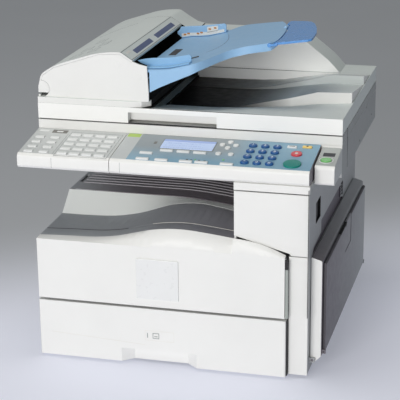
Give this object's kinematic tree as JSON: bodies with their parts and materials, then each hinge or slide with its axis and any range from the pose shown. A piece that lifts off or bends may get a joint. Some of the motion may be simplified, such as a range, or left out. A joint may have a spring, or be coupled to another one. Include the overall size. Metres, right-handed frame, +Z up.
{
  "type": "multifunction printer",
  "caption": "Desktop multifunction printer: sheet feeder and scanner lid over a sloping key panel, open output tray, swing-down front cover and pull-out paper drawer.",
  "frame": {"origin": "centre of the overall footprint, at table height", "axes": "+X to the machine's right, +Y to its back, +Z up; the control panel and paper drawer face -Y"},
  "size_m": [0.468, 0.4626, 0.4761],
  "materials": {
    "casing_white": "fine-textured light ivory plastic",
    "casing_grey": "fine-textured grey-green plastic",
    "tray_grey": "ribbed dark grey plastic",
    "door_grey": "dark grey plastic",
    "panel_blue": "blue-grey panel plastic",
    "keypad_grey": "light grey panel plastic",
    "tray_blue": "light blue plastic",
    "extension_blue": "clear deep blue plastic",
    "key_white": "white keys",
    "key_blue": "blue keys",
    "key_teal": "teal key",
    "key_red": "red key",
    "key_yellow": "yellow key",
    "key_green": "green key",
    "screen": "pale blue display window",
    "badge": "plain raised plate",
    "clear_glass": "flat clear glass",
    "pad_foam": "white foam pad",
    "dark_rubber": "soft black rubber",
    "frame_steel": "plated sheet steel",
    "bright_steel": "turned steel",
    "drum_green": "coated drum",
    "black_plastic": "black moulded plastic",
    "board_green": "circuit board",
    "inner_plastic": "dark inner plastic"
  },
  "bodies": {
    "base": {"base_frame": "frame_steel", "left_cover": "casing_white", "right_cover": "casing_grey", "rear_cover": "casing_white", "column_cover": "casing_white", "post_cover": "casing_white", "output_tray": "tray_grey", "feet": "dark_rubber", "scanner_housing": "casing_grey", "scanner_bezel": "casing_grey", "exposure_glass": "clear_glass", "feeder_glass": "clear_glass", "control_panel": "panel_blue", "keypad_module": "keypad_grey", "key_module": "keypad_grey", "display": "screen", "lid_hinges": "frame_steel", "fuser_frame": "frame_steel", "toner_cartridge": "black_plastic", "laser_unit": "inner_plastic", "main_motor": "frame_steel", "power_supply": "inner_plastic", "controller_board": "board_green", "power_inlet": "black_plastic"},
    "front_cover": {"front_cover": "casing_white", "badge_plate": "badge"},
    "paper_drawer": {"cassette": "inner_plastic", "cassette_front": "casing_white"},
    "lift_plate": {"lift_plate": "bright_steel"},
    "front_fence": {"front_fence": "black_plastic"},
    "rear_fence": {"rear_fence": "black_plastic"},
    "end_fence": {"end_fence": "black_plastic"},
    "feed_roller": {"feed_roller": "dark_rubber"},
    "drum": {"drum": "drum_green"},
    "transfer_roller": {"transfer_roller": "dark_rubber"},
    "hot_roller": {"hot_roller": "bright_steel"},
    "pressure_roller": {"pressure_roller": "dark_rubber"},
    "exit_roller": {"exit_roller": "dark_rubber"},
    "side_door": {"side_door": "casing_white"},
    "bypass_tray": {"bypass_tray": "door_grey"},
    "scan_carriage": {"scan_carriage": "inner_plastic"},
    "lid": {"lid_shell": "casing_white", "platen_pad": "pad_foam", "feeder_base": "casing_white", "arm_housing": "casing_white"},
    "feed_cover": {"feed_cover": "casing_grey"},
    "pickup_roller": {"pickup_roller": "dark_rubber"},
    "document_tray": {"document_tray": "tray_blue"},
    "front_guide": {"front_guide": "tray_blue"},
    "rear_guide": {"rear_guide": "tray_blue"},
    "tray_extension": {"tray_extension": "extension_blue"},
    "power_switch": {"power_switch": "black_plastic"},
    "quick_dial_keys": {"quick_dial_keys": "key_white"},
    "panel_keys": {"panel_keys": "key_white"},
    "number_keys": {"number_keys": "key_blue"},
    "clear_key": {"clear_key": "key_white"},
    "energy_key": {"energy_key": "key_yellow"},
    "stop_key": {"stop_key": "key_red"},
    "start_key": {"start_key": "key_teal"},
    "module_key": {"module_key": "key_green"}
  },
  "joints": [
    {"name": "lid_hinge", "type": "hinge", "parent": "base", "child": "lid", "pos_m": [0, 0.22675, 0.352], "axis": [-1, 0, 0], "range_deg": [0, 60]},
    {"name": "feed_cover_hinge", "type": "hinge", "parent": "lid", "child": "feed_cover", "pos_m": [-0.229, 0.01775, 0.392], "axis": [0, -1, 0], "range_deg": [0, 65]},
    {"name": "document_tray_hinge", "type": "hinge", "parent": "lid", "child": "document_tray", "pos_m": [-0.074, 0.01175, 0.417], "axis": [0, -1, 0], "range_deg": [0, 14]},
    {"name": "front_guide_slide", "type": "slide", "parent": "document_tray", "child": "front_guide", "axis": [0, 1, 0], "range_m": [0, 0.04]},
    {"name": "rear_guide_slide", "type": "slide", "parent": "document_tray", "child": "rear_guide", "axis": [0, -1, 0], "range_m": [0, 0.04]},
    {"name": "tray_extension_hinge", "type": "hinge", "parent": "document_tray", "child": "tray_extension", "pos_m": [0.115, -0.00525, 0.46475], "axis": [0, -1, 0], "range_deg": [0, 90]},
    {"name": "scan_carriage_slide", "type": "slide", "parent": "base", "child": "scan_carriage", "axis": [1, 0, 0], "range_m": [0, 0.33]},
    {"name": "front_cover_hinge", "type": "hinge", "parent": "base", "child": "front_cover", "pos_m": [-0.018, -0.22225, 0.1015], "axis": [1, 0, 0], "range_deg": [0, 90]},
    {"name": "paper_drawer_slide", "type": "slide", "parent": "base", "child": "paper_drawer", "axis": [0, -1, 0], "range_m": [0, 0.25]},
    {"name": "lift_plate_hinge", "type": "hinge", "parent": "paper_drawer", "child": "lift_plate", "pos_m": [-0.034, -0.01325, 0.014], "axis": [0, -1, 0], "range_deg": [0, 18]},
    {"name": "front_fence_slide", "type": "slide", "parent": "paper_drawer", "child": "front_fence", "axis": [0, 1, 0], "range_m": [0, 0.03]},
    {"name": "rear_fence_slide", "type": "slide", "parent": "paper_drawer", "child": "rear_fence", "axis": [0, -1, 0], "range_m": [0, 0.03]},
    {"name": "end_fence_slide", "type": "slide", "parent": "paper_drawer", "child": "end_fence", "axis": [1, 0, 0], "range_m": [0, 0.08]},
    {"name": "side_door_hinge", "type": "hinge", "parent": "base", "child": "side_door", "pos_m": [0.2082, -0.00525, 0.024], "axis": [0, 1, 0], "range_deg": [0, 50]},
    {"name": "bypass_tray_hinge", "type": "hinge", "parent": "side_door", "child": "bypass_tray", "pos_m": [0.2237, -0.00525, 0.0362], "axis": [0, 1, 0], "range_deg": [0, 60]},
    {"name": "power_switch_rock", "type": "hinge", "parent": "base", "child": "power_switch", "pos_m": [-0.198, 0.13675, 0.06], "axis": [0, 1, 0], "range_deg": [0, 8]},
    {"name": "pickup_roller_spin", "type": "hinge", "parent": "lid", "child": "pickup_roller", "pos_m": [-0.107, 0.01475, 0.435], "axis": [0, 1, 0], "continuous": true},
    {"name": "feed_roller_spin", "type": "hinge", "parent": "base", "child": "feed_roller", "pos_m": [0.154, -0.01325, 0.101], "axis": [0, 1, 0], "continuous": true},
    {"name": "drum_spin", "type": "hinge", "parent": "base", "child": "drum", "pos_m": [0.151, -0.01325, 0.15], "axis": [0, 1, 0], "continuous": true},
    {"name": "transfer_roller_spin", "type": "hinge", "parent": "base", "child": "transfer_roller", "pos_m": [0.1743, -0.01325, 0.15], "axis": [0, 1, 0], "continuous": true},
    {"name": "hot_roller_spin", "type": "hinge", "parent": "base", "child": "hot_roller", "pos_m": [0.154, -0.01325, 0.226], "axis": [0, 1, 0], "continuous": true},
    {"name": "pressure_roller_spin", "type": "hinge", "parent": "base", "child": "pressure_roller", "pos_m": [0.1813, -0.01325, 0.226], "axis": [0, 1, 0], "continuous": true},
    {"name": "exit_roller_spin", "type": "hinge", "parent": "base", "child": "exit_roller", "pos_m": [0.112, -0.01325, 0.252], "axis": [0, 1, 0], "continuous": true},
    {"name": "quick_dial_keys_press", "type": "slide", "parent": "base", "child": "quick_dial_keys", "axis": [0, 0.1386, -0.9903], "range_m": [0, 0.001], "stiffness_N_per_m": 900},
    {"name": "panel_keys_press", "type": "slide", "parent": "base", "child": "panel_keys", "axis": [0, 0.1386, -0.9903], "range_m": [0, 0.001], "stiffness_N_per_m": 900},
    {"name": "number_keys_press", "type": "slide", "parent": "base", "child": "number_keys", "axis": [0, 0.1386, -0.9903], "range_m": [0, 0.001], "stiffness_N_per_m": 900},
    {"name": "clear_key_press", "type": "slide", "parent": "base", "child": "clear_key", "axis": [0, 0.1386, -0.9903], "range_m": [0, 0.001], "stiffness_N_per_m": 900},
    {"name": "energy_key_press", "type": "slide", "parent": "base", "child": "energy_key", "axis": [0, 0.1386, -0.9903], "range_m": [0, 0.001], "stiffness_N_per_m": 900},
    {"name": "stop_key_press", "type": "slide", "parent": "base", "child": "stop_key", "axis": [0, 0.1386, -0.9903], "range_m": [0, 0.001], "stiffness_N_per_m": 900},
    {"name": "start_key_press", "type": "slide", "parent": "base", "child": "start_key", "axis": [0, 0.1386, -0.9903], "range_m": [0, 0.001], "stiffness_N_per_m": 900},
    {"name": "module_key_press", "type": "slide", "parent": "base", "child": "module_key", "axis": [0, 0.1386, -0.9903], "range_m": [0, 0.001], "stiffness_N_per_m": 900}
  ],
  "couplings": [
    {"joint": "rear_guide_slide", "follows": "front_guide_slide", "ratio": 1},
    {"joint": "rear_fence_slide", "follows": "front_fence_slide", "ratio": 1},
    {"joint": "transfer_roller_spin", "follows": "drum_spin", "ratio": -1.875},
    {"joint": "pressure_roller_spin", "follows": "hot_roller_spin", "ratio": -1.25}
  ]
}
